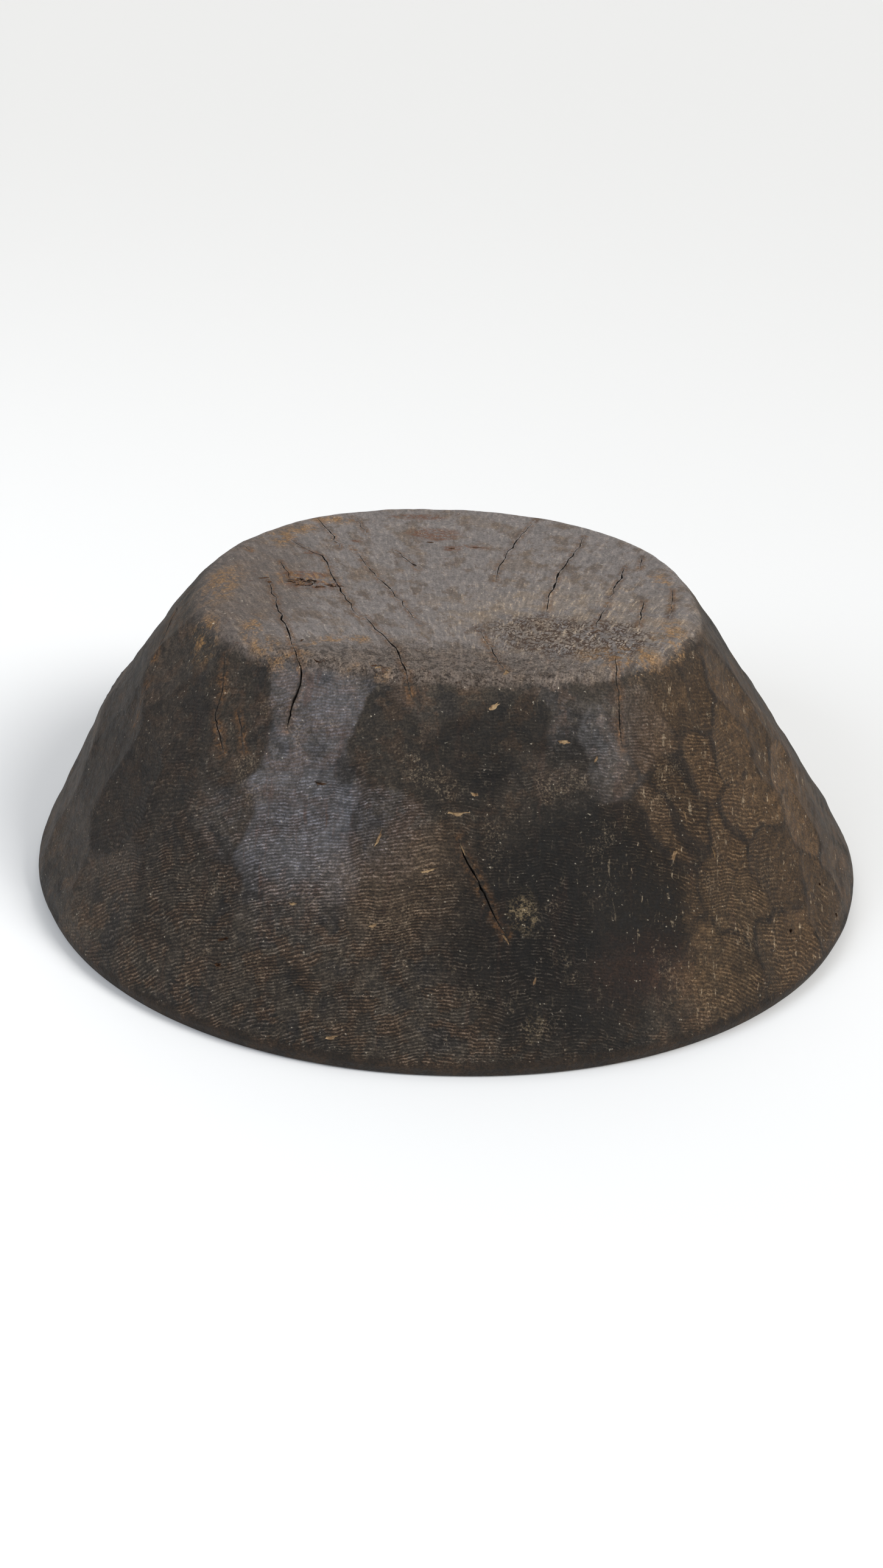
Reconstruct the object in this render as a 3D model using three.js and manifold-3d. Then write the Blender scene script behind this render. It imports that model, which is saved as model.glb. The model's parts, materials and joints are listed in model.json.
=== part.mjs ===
import * as THREE from "three";
import { mergeVertices } from "three/addons/utils/BufferGeometryUtils.js";
import Module from "manifold-3d";

// An old bowl, hewn with an adze from half of a split log, all in one piece. It lies mouth down.
// Sizes are in millimetres. The rim's edge lies in z = 0 and +Z points up to the foot.
// The grain of the log runs from front (-Y) to back (+Y), and left is -X.

// The outer edge of the mouth, across the grain and along it, from the middle to each side
const rimHalfWidth = 200;
const rimHalfDepth = 203.5;
const rimSquareness = 2.08;

// The foot, from the middle of the bowl to where its rounded edge meets the wall. It is not quite central.
const footLeft = 121;
const footRight = 116;
const footFront = 112;
const footBack = 123;
const footSquareness = 2.28;

// Height at the middle of the foot, the slope of its face, which is higher on the left, and its soft edge
const bowlHeight = 133;
const footSlope = -0.018;
const footEdgeWidth = 11;
const footEdgeDrop = 8;

// The blunt edge at the mouth: a low upright band that leans in a little towards the mouth
const rimBandHeight = 6;
const rimBandLean = 2;

// How far the wall swells past a straight line from rim to foot. The right side is straight,
// and the left side swells more towards the foot than towards the rim.
const swellLeft = 6.7;
const swellRight = 0;
const swellFront = 3;
const swellBack = 3.3;
const highSwellLeft = 5;

// The hollow: the wall's breadth at the mouth and at the floor, and the wood left under the foot
const mouthWallBreadth = 16;
const floorWallBreadth = 25;
const floorThickness = 28;
const hollowCornerWidth = 42;
const hollowCornerHeight = 34;
const floorDish = 3;

// Adze marks: staggered rows of shallow hollows with a ridge between each and the next
const marksAround = 26;
const marksUpWall = 4;
const outsideMarkDepth = 2.2;
const insideMarkDepth = 1.2;
const markWander = 5;

// Faces that one adze mark is divided into, across and up
const stepsPerMark = 4;

// Steps of the rounded edge of the foot and of the rounded corner of the hollow
const footEdgeSteps = 3;
const hollowCornerSteps = 5;
const floorSteps = 2;

// Drying checks. A longer one is wider in the middle and runs out to nothing at its ends.
const checkWidth = 1.8;
const checkDepth = 9;
const checkSway = 1.4;
const checkSteps = 8;

// How far the wedge that opens a check starts above the wood, so that it cuts right through the surface
const checkLift = 3;

// Where each check starts and ends, in shares of the foot: 1 is the foot's edge, and past 1 is the wall.
// Bow is how far it curves aside, in the same shares, and size is its width and depth beside the largest.
const footChecks = [
  { from: [-0.6, 0.73], to: [-0.47, 0.37], bow: 0.01, size: 0.9 },
  { from: [-0.63, 0.37], to: [-0.37, -0.36], bow: 0.03, size: 1 },
  { from: [-0.35, -0.41], to: [-0.17, -1.01], bow: 0.01, size: 0.9 },
  { from: [-0.71, -0.09], to: [-0.51, -1.02], bow: -0.03, size: 1 },
  { from: [-0.45, 0.45], to: [-0.12, -0.51], bow: -0.02, size: 0.8 },
  { from: [0.36, 0.85], to: [0.165, 0.08], bow: -0.02, size: 0.8 },
  { from: [0.57, 0.65], to: [0.35, -0.33], bow: -0.03, size: 1 },
  { from: [0.72, 0.31], to: [0.53, -0.46], bow: 0.01, size: 0.8 },
  { from: [0.75, -0.07], to: [0.71, -0.38], bow: 0.01, size: 0.6 },
  { from: [0.88, 0.04], to: [0.83, -0.29], bow: 0.02, size: 0.6 },
  { from: [0.09, -0.49], to: [0.18, -0.92], bow: 0, size: 0.7 },
];
const wallChecks = [
  { from: [-0.51, -0.88], to: [-0.545, -1.01], bow: -0.01, size: 1.5 },
  { from: [-0.83, -0.7], to: [-0.81, -0.99], bow: -0.01, size: 0.8 },
  { from: [0.03, -1.34], to: [0.2, -1.545], bow: 0.01, size: 1.3 },
];

const woodColour = 0x4a4038;
const woodRoughness = 0.72;

const rim = {
  left: rimHalfWidth,
  right: rimHalfWidth,
  front: rimHalfDepth,
  back: rimHalfDepth,
  squareness: rimSquareness,
};

const foot = {
  left: footLeft,
  right: footRight,
  front: footFront,
  back: footBack,
  squareness: footSquareness,
};

const swell = { left: swellLeft, right: swellRight, front: swellFront, back: swellBack };

const shoulderHeight = bowlHeight - footEdgeDrop;
const floorHeight = bowlHeight - floorThickness;
const columns = marksAround * stepsPerMark;
const wallRows = marksUpWall * stepsPerMark;

// The half-lengths that hold in one direction, as one looks out from the middle of the bowl
function quarter(sides, angle) {
  return {
    sideways: Math.cos(angle) > 0 ? sides.right : sides.left,
    endways: Math.sin(angle) > 0 ? sides.back : sides.front,
  };
}

// How far an outline reaches in one direction: an oval between an ellipse and an oblong
function reach(outline, angle) {
  const { sideways, endways } = quarter(outline, angle);
  const across = Math.abs(Math.cos(angle) / sideways) ** outline.squareness;
  const along = Math.abs(Math.sin(angle) / endways) ** outline.squareness;
  return (across + along) ** (-1 / outline.squareness);
}

// How far the wall swells in one direction and at one height
function swellTowards(angle, rise) {
  const { sideways, endways } = quarter(swell, angle);
  const high = Math.cos(angle) < 0 ? highSwellLeft * (2 * rise - 1) : 0;
  return (sideways + high) * Math.cos(angle) ** 2 + endways * Math.sin(angle) ** 2;
}

// The outside wall before the adze marks: rise is 0 at the rim band and 1 at the foot's shoulder
function wallRadius(angle, rise) {
  const straight = reach(rim, angle) * (1 - rise) + reach(foot, angle) * rise;
  return straight + 4 * swellTowards(angle, rise) * rise * (1 - rise);
}

function wallRise(height) {
  return (height - rimBandHeight) / (shoulderHeight - rimBandHeight);
}

// The hollow follows the outside wall at the wall's breadth, which grows towards the floor
function hollowRadius(angle, height) {
  const share = height / floorHeight;
  const breadth = mouthWallBreadth * (1 - share) + floorWallBreadth * share;
  const rise = Math.max(0, wallRise(height));
  return wallRadius(angle, rise) - breadth;
}

// Share of an adze mark's full depth at a grid point: 0 on the ridges round it and 1 in its middle.
// Each row of marks is set half a mark aside from the row below.
function markShare(column, row) {
  const markRow = Math.min(Math.floor(row / stepsPerMark), marksUpWall - 1);
  const aside = markRow % 2 === 0 ? 0 : stepsPerMark / 2;
  const across = ((column + aside) % stepsPerMark) / stepsPerMark;
  const up = row / stepsPerMark - markRow;
  const mark = Math.floor((column + aside) / stepsPerMark) % marksAround;
  const force = 0.7 + 0.3 * Math.sin(2.4 * mark + 1.7 * markRow);
  const hollowAcross = 4 * across * (1 - across);
  const hollowUp = 4 * up * (1 - up);
  return force * hollowAcross * (0.35 + 0.65 * hollowUp);
}

// Adze marks are not in straight lines: their ridges wander a little around and up the wall
function wanderAround(angle, rise) {
  return (markWander / rimHalfDepth) * Math.sin(3 * angle + 4 * rise) * rise * (1 - rise) * 4;
}

function wanderUp(angle, rise) {
  return markWander * Math.sin(4 * angle - 5 * rise) * rise * (1 - rise) * 2;
}

// A closed ring of points, each from its column's number and angle
function ring(pointOf) {
  const points = [];
  for (let column = 0; column < columns; column += 1) {
    points.push(pointOf(column, (2 * Math.PI * column) / columns));
  }
  return points;
}

// A point of the bowl. The foot's face slopes a little, and all below it shares in that, down to the rim.
function pointAt(across, along, height) {
  const leaning = (footSlope * across * height) / bowlHeight;
  return new THREE.Vector3(across, along, height + leaning);
}

function pointAtAngle(radius, angle, height) {
  return pointAt(radius * Math.cos(angle), radius * Math.sin(angle), height);
}

// The foot's face is flat out to its rounded edge, which turns down to the shoulder as a quarter oval
function footRings() {
  const rings = [];
  for (let step = 0; step < footEdgeSteps; step += 1) {
    const turn = (Math.PI / 2) * (1 - step / footEdgeSteps);
    const inset = footEdgeWidth * (1 - Math.cos(turn));
    const height = shoulderHeight + footEdgeDrop * Math.sin(turn);
    rings.push(ring((column, angle) => pointAtAngle(reach(foot, angle) - inset, angle, height)));
  }
  return rings;
}

// The outside wall from the foot's shoulder down to the top of the rim band
function outsideRings() {
  const rings = [];
  for (let row = wallRows; row >= 0; row -= 1) {
    const rise = row / wallRows;
    const level = rimBandHeight + (shoulderHeight - rimBandHeight) * rise;
    rings.push(
      ring((column, angle) => {
        const turned = angle + wanderAround(angle, rise);
        const radius = wallRadius(turned, rise) - outsideMarkDepth * markShare(column, row);
        return pointAtAngle(radius, turned, level + wanderUp(angle, rise) * 0.5);
      }),
    );
  }
  return rings;
}

// The two edges of the flat that the bowl stands on when it lies mouth down
function mouthRings() {
  const outer = ring((column, angle) => pointAtAngle(reach(rim, angle) - rimBandLean, angle, 0));
  const inner = ring((column, angle) => pointAtAngle(hollowRadius(angle, 0), angle, 0));
  return [outer, inner];
}

// The inside wall from the mouth up to the rounded corner of the hollow
function insideRings() {
  const rings = [];
  const cornerStart = floorHeight - hollowCornerHeight;
  const rows = wallRows / 2;
  for (let row = 1; row <= rows; row += 1) {
    const height = (cornerStart * row) / rows;
    rings.push(
      ring((column, angle) => {
        const depth = row < rows ? insideMarkDepth * markShare(column, row * 2) : 0;
        return pointAtAngle(hollowRadius(angle, height) + depth, angle, height);
      }),
    );
  }
  return rings;
}

// The corner between the inside wall and the floor, a quarter oval
function cornerRings() {
  const rings = [];
  for (let step = 1; step <= hollowCornerSteps; step += 1) {
    const turn = ((Math.PI / 2) * step) / hollowCornerSteps;
    const height = floorHeight - hollowCornerHeight * (1 - Math.sin(turn));
    const inset = hollowCornerWidth * (1 - Math.cos(turn));
    rings.push(ring((column, angle) => pointAtAngle(hollowRadius(angle, height) - inset, angle, height)));
  }
  return rings;
}

// The floor of the hollow, dished a little deeper towards its middle
function floorRings() {
  const rings = [];
  for (let step = 1; step <= floorSteps; step += 1) {
    const out = 1 - step / (floorSteps + 1);
    const height = floorHeight + floorDish * (1 - out ** 2);
    rings.push(
      ring((column, angle) => {
        const edge = hollowRadius(angle, floorHeight) - hollowCornerWidth;
        return pointAtAngle(edge * out, angle, height);
      }),
    );
  }
  return rings;
}

// One closed skin through a row of rings, with a fan to a middle point at each end
function skin(firstMiddle, rings, lastMiddle) {
  const points = [firstMiddle, ...rings.flat(), lastMiddle];
  const faces = [];
  const index = (ringNumber, column) => 1 + ringNumber * columns + (column % columns);
  for (let column = 0; column < columns; column += 1) {
    faces.push([0, index(0, column), index(0, column + 1)]);
    for (let inner = 0; inner + 1 < rings.length; inner += 1) {
      const outer = inner + 1;
      faces.push([index(inner, column), index(outer, column), index(outer, column + 1)]);
      faces.push([index(inner, column), index(outer, column + 1), index(inner, column + 1)]);
    }
    const last = rings.length - 1;
    faces.push([points.length - 1, index(last, column + 1), index(last, column)]);
  }
  return meshOf(points, faces);
}

function meshOf(points, faces) {
  const geometry = new THREE.BufferGeometry().setFromPoints(points);
  geometry.setIndex(faces.flat());
  return geometry;
}

// The hewn blank with its hollow, before the wood has dried and split
function hewnBowl() {
  const rings = [
    ...footRings(),
    ...outsideRings(),
    ...mouthRings(),
    ...insideRings(),
    ...cornerRings(),
    ...floorRings(),
  ];
  const footMiddle = pointAt(0, 0, bowlHeight);
  const floorMiddle = pointAt(0, 0, floorHeight + floorDish);
  return skin(footMiddle, rings, floorMiddle);
}

// The point of the outside that lies under a place given in shares of the foot
function surfacePoint([shareAcross, shareAlong]) {
  const sideways = shareAcross * (shareAcross > 0 ? foot.right : foot.left);
  const endways = shareAlong * (shareAlong > 0 ? foot.back : foot.front);
  const angle = Math.atan2(endways, sideways);
  const radius = Math.hypot(sideways, endways);
  if (radius < reach(foot, angle) - footEdgeWidth) {
    return pointAt(sideways, endways, bowlHeight);
  }
  if (radius < reach(foot, angle)) {
    const inset = (reach(foot, angle) - radius) / footEdgeWidth;
    const height = shoulderHeight + footEdgeDrop * Math.sqrt(1 - (1 - inset) ** 2);
    return pointAt(sideways, endways, height);
  }
  let lowRise = 0;
  let highRise = 1;
  for (let halving = 0; halving < 24; halving += 1) {
    const middle = (lowRise + highRise) / 2;
    if (wallRadius(angle, middle) > radius) lowRise = middle;
    else highRise = middle;
  }
  const height = rimBandHeight + (shoulderHeight - rimBandHeight) * lowRise;
  return pointAt(sideways, endways, height);
}

// The way out of the wood at a place, from two short steps over the surface
function surfaceNormal([shareAcross, shareAlong]) {
  const step = 0.02;
  const right = surfacePoint([shareAcross + step, shareAlong]);
  const left = surfacePoint([shareAcross - step, shareAlong]);
  const back = surfacePoint([shareAcross, shareAlong + step]);
  const front = surfacePoint([shareAcross, shareAlong - step]);
  return right.sub(left).cross(back.sub(front)).normalize();
}

// The wedge of air that one drying check opens: wide above the surface, a knife edge at the bottom
function checkWedge({ from, to, bow, size }) {
  const sections = [];
  for (let step = 0; step <= checkSteps; step += 1) {
    const along = step / checkSteps;
    const place = placeOnCheck(from, to, bow, along);
    const ahead = surfacePoint(placeOnCheck(from, to, bow, along + 0.01));
    const behind = surfacePoint(placeOnCheck(from, to, bow, along - 0.01));
    const normal = surfaceNormal(place);
    const side = ahead.sub(behind).cross(normal).normalize();
    const opening = 0.12 + 0.88 * Math.sin(Math.PI * along) ** 0.7;
    const depth = checkDepth * size * opening;
    const halfWidth = ((checkWidth * size * opening) / 2) * (1 + checkLift / depth);
    const sway = checkSway * (step % 2 === 0 ? 0.5 : -0.5) * Math.sin(Math.PI * along);
    const middle = surfacePoint(place).addScaledVector(side, sway);
    sections.push([
      middle.clone().addScaledVector(normal, checkLift).addScaledVector(side, halfWidth),
      middle.clone().addScaledVector(normal, checkLift).addScaledVector(side, -halfWidth),
      middle.clone().addScaledVector(normal, -depth),
    ]);
  }
  return wedgeThrough(sections);
}

function placeOnCheck(from, to, bow, along) {
  const across = from[0] + (to[0] - from[0]) * along;
  const forward = from[1] + (to[1] - from[1]) * along;
  return [across + bow * Math.sin(Math.PI * along), forward];
}

function wedgeThrough(sections) {
  const faces = [[0, 1, 2]];
  for (let section = 0; section + 1 < sections.length; section += 1) {
    for (let corner = 0; corner < 3; corner += 1) {
      const here = 3 * section + corner;
      const next = 3 * section + ((corner + 1) % 3);
      faces.push([here, here + 3, next + 3]);
      faces.push([here, next + 3, next]);
    }
  }
  const last = 3 * (sections.length - 1);
  faces.push([last, last + 2, last + 1]);
  return meshOf(sections.flat(), faces);
}

const wasm = await Module();
wasm.setup();

function toSolid(geometry) {
  const merged = mergeVertices(geometry);
  const mesh = new wasm.Mesh({
    numProp: 3,
    vertProperties: new Float32Array(merged.attributes.position.array),
    triVerts: new Uint32Array(merged.index.array),
  });
  return new wasm.Manifold(mesh);
}

function toGeometry(solid) {
  const mesh = solid.getMesh();
  const geometry = new THREE.BufferGeometry();
  geometry.setAttribute("position", new THREE.BufferAttribute(mesh.vertProperties, 3));
  geometry.setIndex(new THREE.BufferAttribute(mesh.triVerts, 1));
  geometry.computeVertexNormals();
  return geometry;
}

function driedBowl() {
  let bowl = toSolid(hewnBowl());
  for (const check of [...footChecks, ...wallChecks]) {
    bowl = bowl.subtract(toSolid(checkWedge(check)));
  }
  return toGeometry(bowl);
}

const agedWood = new THREE.MeshStandardMaterial({
  color: woodColour,
  roughness: woodRoughness,
  metalness: 0,
});

const bowl = new THREE.Mesh(driedBowl(), agedWood);
bowl.name = "bowl";

const object = new THREE.Group();
object.name = "hewn_bowl";
object.add(bowl);

export default object;
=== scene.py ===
# %% [markdown]
# # A hewn wooden bowl, lying mouth down
#
# The bowl is one piece of wood, cut with an adze from half of a split log. It lies on its mouth, so
# the flat foot is on top. This lesson turns a round blank, pushes it to the real oval, hews the adze
# marks into it, splits it with drying checks, and then builds the finish of the old wood from nodes.
# Sizes are written in millimetres and made metres where Blender needs them.

# %% Load the fixed frame and measure it
import json
import math

import bmesh
import bpy
import numpy as np
from mathutils import Matrix, Vector, noise

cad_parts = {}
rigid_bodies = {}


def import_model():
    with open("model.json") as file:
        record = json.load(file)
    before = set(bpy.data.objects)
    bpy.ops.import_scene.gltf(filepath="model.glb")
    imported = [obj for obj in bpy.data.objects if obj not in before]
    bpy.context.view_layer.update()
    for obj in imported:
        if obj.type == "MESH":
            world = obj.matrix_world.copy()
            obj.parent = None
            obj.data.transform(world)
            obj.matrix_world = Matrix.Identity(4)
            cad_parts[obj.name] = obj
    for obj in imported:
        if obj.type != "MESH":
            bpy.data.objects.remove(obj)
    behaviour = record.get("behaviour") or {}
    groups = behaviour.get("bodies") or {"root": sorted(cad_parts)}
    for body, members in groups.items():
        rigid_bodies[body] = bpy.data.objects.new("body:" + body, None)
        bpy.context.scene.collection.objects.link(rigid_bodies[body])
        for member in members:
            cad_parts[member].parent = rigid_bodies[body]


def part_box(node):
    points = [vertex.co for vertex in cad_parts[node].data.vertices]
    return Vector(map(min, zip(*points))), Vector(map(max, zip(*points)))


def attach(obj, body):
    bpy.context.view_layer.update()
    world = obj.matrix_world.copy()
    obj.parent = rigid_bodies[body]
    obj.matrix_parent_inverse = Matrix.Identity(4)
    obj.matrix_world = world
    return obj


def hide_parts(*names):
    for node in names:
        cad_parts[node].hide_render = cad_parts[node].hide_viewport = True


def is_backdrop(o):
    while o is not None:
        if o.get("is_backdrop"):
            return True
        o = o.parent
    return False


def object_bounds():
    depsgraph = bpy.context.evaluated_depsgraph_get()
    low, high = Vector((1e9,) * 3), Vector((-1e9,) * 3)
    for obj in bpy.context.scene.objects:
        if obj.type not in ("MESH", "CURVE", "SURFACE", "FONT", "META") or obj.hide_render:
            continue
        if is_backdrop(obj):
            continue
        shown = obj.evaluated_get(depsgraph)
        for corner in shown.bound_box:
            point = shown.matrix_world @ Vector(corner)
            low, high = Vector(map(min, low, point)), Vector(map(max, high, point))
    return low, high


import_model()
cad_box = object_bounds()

mm = 0.001
node_low, node_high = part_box("bowl")
print("bowl from", [round(v / mm, 1) for v in node_low], "to", [round(v / mm, 1) for v in node_high])

# %% [markdown]
# ## Small helpers for modelling in code
#
# Blender's operators act on whatever is selected, as they do when you work by hand. After loading,
# the frame's own pieces are selected, so everything is deselected first. In edit mode, one helper
# selects vertices, edges or faces by a question about their place, in millimetres.

# %% Select and enter edit mode
def deselect_all():
    if bpy.context.object and bpy.context.object.mode != "OBJECT":
        bpy.ops.object.mode_set(mode="OBJECT")
    bpy.ops.object.select_all(action="DESELECT")


def make_active(piece):
    deselect_all()
    piece.select_set(True)
    bpy.context.view_layer.objects.active = piece


def edit(piece):
    make_active(piece)
    bpy.ops.object.mode_set(mode="EDIT")


def leave_edit():
    bpy.ops.object.mode_set(mode="OBJECT")


def middle_of(part):
    if isinstance(part, bmesh.types.BMVert):
        return part.co / mm
    if isinstance(part, bmesh.types.BMEdge):
        return (part.verts[0].co + part.verts[1].co) / 2 / mm
    return part.calc_center_median() / mm


def pick(piece, kind, question):
    """Select the vertices, edges or faces for which question(part, its middle) is true."""
    bpy.ops.mesh.select_mode(type=kind)
    bpy.ops.mesh.select_all(action="DESELECT")
    mesh = bmesh.from_edit_mesh(piece.data)
    parts = {"VERT": mesh.verts, "EDGE": mesh.edges, "FACE": mesh.faces}[kind]
    found = [part for part in parts if question(part, middle_of(part))]
    for part in found:
        part.select_set(True)
    mesh.select_flush_mode()
    bmesh.update_edit_mesh(piece.data)
    return len(found)


deselect_all()

# %% [markdown]
# ## The real sizes
#
# The outline of the mouth and of the foot is an oval between an ellipse and an oblong, and each side
# has its own reach, because the bowl was cut by eye. The mouth's size comes from the frame. The wall
# runs nearly straight between the two, with a slight swell on three sides.

# %% Sizes of the bowl
rim_half_width = node_high.x / mm
rim_half_depth = node_high.y / mm
rim_squareness = 2.08
foot_left, foot_right, foot_front, foot_back = 121, 116, 112, 123
foot_squareness = 2.28
bowl_height = 133
shoulder_height = 125
rim_band_height = 6
rim_band_lean = 2
foot_slope = -0.018
swell_left, swell_right, swell_front, swell_back = 6.7, 1.6, 3.0, 3.3
high_swell_left = 5
mouth_wall, floor_wall = 16, 25
floor_height = 105
floor_dish = 3

# The round blank that the oval is pushed from
blank_rim, blank_foot = 200, 118

# What lies this near to the blank's outer face, or to its top, is the outside
skin_depth, top_depth = 8, 7


def reach(angle, left, right, front, back, squareness):
    """How far an outline reaches from the middle, in each plan angle."""
    sideways = np.where(np.cos(angle) > 0, right, left)
    endways = np.where(np.sin(angle) > 0, back, front)
    across = np.abs(np.cos(angle) / sideways) ** squareness
    along = np.abs(np.sin(angle) / endways) ** squareness
    return (across + along) ** (-1 / squareness)


def wall_radius(angle, rise):
    """The outside wall: rise is 0 at the rim band and 1 at the foot's shoulder."""
    rim = reach(angle, rim_half_width, rim_half_width, rim_half_depth, rim_half_depth, rim_squareness)
    foot = reach(angle, foot_left, foot_right, foot_front, foot_back, foot_squareness)
    sideways = np.where(np.cos(angle) > 0, swell_right, swell_left + high_swell_left * (2 * rise - 1))
    endways = np.where(np.sin(angle) > 0, swell_back, swell_front)
    swell = sideways * np.cos(angle) ** 2 + endways * np.sin(angle) ** 2
    return rim * (1 - rise) + foot * rise + 4 * swell * np.clip(rise * (1 - rise), 0, 1)


def blank_radius(height):
    return blank_rim + (blank_foot - blank_rim) * rise_of(height)


def rise_of(height):
    return (height - rim_band_height) / (shoulder_height - rim_band_height)


print("mouth", round(2 * rim_half_width), "x", round(2 * rim_half_depth), "mm, height", bowl_height, "mm")

# %% [markdown]
# ## The blank
#
# A bowl is a surface of revolution before anything else happens to it. It could be spun from a
# profile, but circles joined by bridges are easier to keep even: each circle is one corner of the
# profile. The blank has an outside wall, a flat rim and a hollow with a floor.

# %% Circles bridged into a closed blank
columns = 480
brow_radius = blank_radius(bowl_height)
floor_radius = blank_radius(floor_height) - floor_wall
profile = [
    (brow_radius, bowl_height),
    (blank_rim, rim_band_height),
    (blank_rim - rim_band_lean, 0),
    (blank_rim - mouth_wall, 0),
    (floor_radius, floor_height),
]


def on_circle(radius, height):
    def question(part, middle):
        close = abs(math.hypot(middle.x, middle.y) - radius) < 0.5
        return close and abs(middle.z - height) < 0.2
    return question


bpy.ops.mesh.primitive_circle_add(
    vertices=columns, radius=profile[0][0] * mm, location=(0, 0, profile[0][1] * mm)
)
bowl = bpy.context.object
bowl.name = "hewn_bowl"
bpy.ops.object.transform_apply(location=True)
edit(bowl)
for radius, height in profile[1:]:
    bpy.ops.mesh.primitive_circle_add(
        vertices=columns, radius=radius * mm, location=(0, 0, height * mm)
    )
for (radius, height), (next_radius, next_height) in zip(profile, profile[1:]):
    here = on_circle(radius, height)
    there = on_circle(next_radius, next_height)
    pick(bowl, "VERT", lambda part, middle: here(part, middle) or there(part, middle))
    bpy.ops.mesh.bridge_edge_loops()
for radius, height in (profile[0], profile[-1]):
    pick(bowl, "VERT", on_circle(radius, height))
    bpy.ops.mesh.edge_face_add()
leave_edit()
print("blank has", len(bowl.data.polygons), "faces")

# %% [markdown]
# ## Corners of the blank
#
# The hollow's floor meets its wall in a wide curve, and the rim has been worn blunt. The Bevel
# operator rounds those loops. The brow, where the wall meets the foot, is crisp at the front and
# soft at both sides, so there the Bevel modifier takes its width from weights on the edges.

# %% Round the rim and the hollow's corner
def bevel_circle(place, width, steps):
    radius, height = place
    on_edge = on_circle(radius, height)
    count = pick(bowl, "EDGE", lambda part, middle: on_edge(part, middle) and part.calc_length() < 8 * mm)
    bpy.ops.mesh.bevel(offset=width * mm, segments=steps, affect="EDGES")
    return count


# The circles of the profile that are rounded, with the width in mm and the steps of each
rounded = [(1, 1.2, 2), (2, 1.4, 2), (3, 3.0, 3), (4, 42, 9)]
edit(bowl)
for number, width, steps in rounded:
    count = bevel_circle(profile[number], width, steps)
    print("circle", number, "of the profile:", count, "edges bevelled")
leave_edit()

# %% Round the brow by weight
brow_width = 9
front_share, back_share, left_share, right_share = 0.3, 0.4, 1.0, 0.6
weights = bowl.data.attributes.new("bevel_weight_edge", "FLOAT", "EDGE")
for edge in bowl.data.edges:
    ends = [bowl.data.vertices[number].co / mm for number in edge.vertices]
    if all(abs(end.z - bowl_height) < 0.2 for end in ends):
        middle = (ends[0] + ends[1]) / 2
        turned = math.atan2(middle.y, middle.x)
        end_share = front_share if middle.y < 0 else back_share
        side_share = left_share if middle.x < 0 else right_share
        sideways = abs(math.cos(turned)) ** 1.5
        weights.data[edge.index].value = end_share + (side_share - end_share) * sideways


def apply_modifier(piece, kind, **settings):
    """Add a modifier, set it, and apply it."""
    make_active(piece)
    modifier = piece.modifiers.new(kind.title(), kind)
    for name, value in settings.items():
        setattr(modifier, name, value)
    bpy.ops.object.modifier_apply(modifier=modifier.name)


apply_modifier(bowl, "BEVEL", width=brow_width * mm, segments=6, limit_method="WEIGHT")
print("blank has", len(bowl.data.polygons), "faces after its corners")

# %% [markdown]
# ## Enough faces to carve
#
# Adze marks are about 40 mm wide, so faces of about 2 mm hold their shape well. The long faces of
# both walls are cut across with Subdivide Edge Ring. The two round ends are still one big face
# each. They become an even grid, because a fan of thin triangles would crease when it is carved.

# %% Cut the walls into rows and the ends into grids
def long_edges(least, outside):
    def question(part, middle):
        far = math.hypot(middle.x, middle.y) > blank_radius(middle.z) - skin_depth
        return part.calc_length() > least * mm and far == outside
    return question


wall_rows, hollow_rows = 62, 26
edit(bowl)
pick(bowl, "EDGE", long_edges(90, True))
bpy.ops.mesh.subdivide_edgering(number_cuts=wall_rows, interpolation="LINEAR")
pick(bowl, "EDGE", long_edges(60, False))
bpy.ops.mesh.subdivide_edgering(number_cuts=hollow_rows, interpolation="LINEAR")
leave_edit()


def grid_end(height):
    """Swap the round end face at one height for a square grid of faces."""
    edit(bowl)
    pick(bowl, "FACE", lambda part, middle: len(part.verts) > 100 and abs(middle.z - height) < 1)
    mesh = bmesh.from_edit_mesh(bowl.data)
    end = [face for face in mesh.faces if face.select][0]
    rim = {vertex.index for vertex in end.verts}
    bpy.ops.mesh.delete(type="ONLY_FACE")
    pick(bowl, "VERT", lambda part, middle: part.index in rim)
    bpy.ops.mesh.fill_grid(span=columns // 4)
    leave_edit()


grid_end(bowl_height)
grid_end(floor_height)
edit(bowl)
bpy.ops.mesh.select_all(action="SELECT")
bpy.ops.mesh.remove_doubles(threshold=0.01 * mm)
bpy.ops.mesh.normals_make_consistent(inside=False)
leave_edit()
print("blank has", len(bowl.data.polygons), "faces ready to carve")

# %% [markdown]
# ## From round to oval
#
# Each point keeps its plan angle and moves out or in, until the round wall lies on the real one.
# The foot's face slopes by one degree, and all below shares in that, down to the level rim. NumPy
# moves all points at once.

# %% Push the blank to the real outline
def read_points(piece):
    flat = np.empty(3 * len(piece.data.vertices))
    piece.data.vertices.foreach_get("co", flat)
    return flat.reshape(-1, 3) / mm


def write_points(piece, points):
    piece.data.vertices.foreach_set("co", (points * mm).ravel())
    piece.data.update()


def read_normals(piece):
    flat = np.empty(3 * len(piece.data.vertices))
    piece.data.vertex_normals.foreach_get("vector", flat)
    return flat.round(4).reshape(-1, 3)


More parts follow.
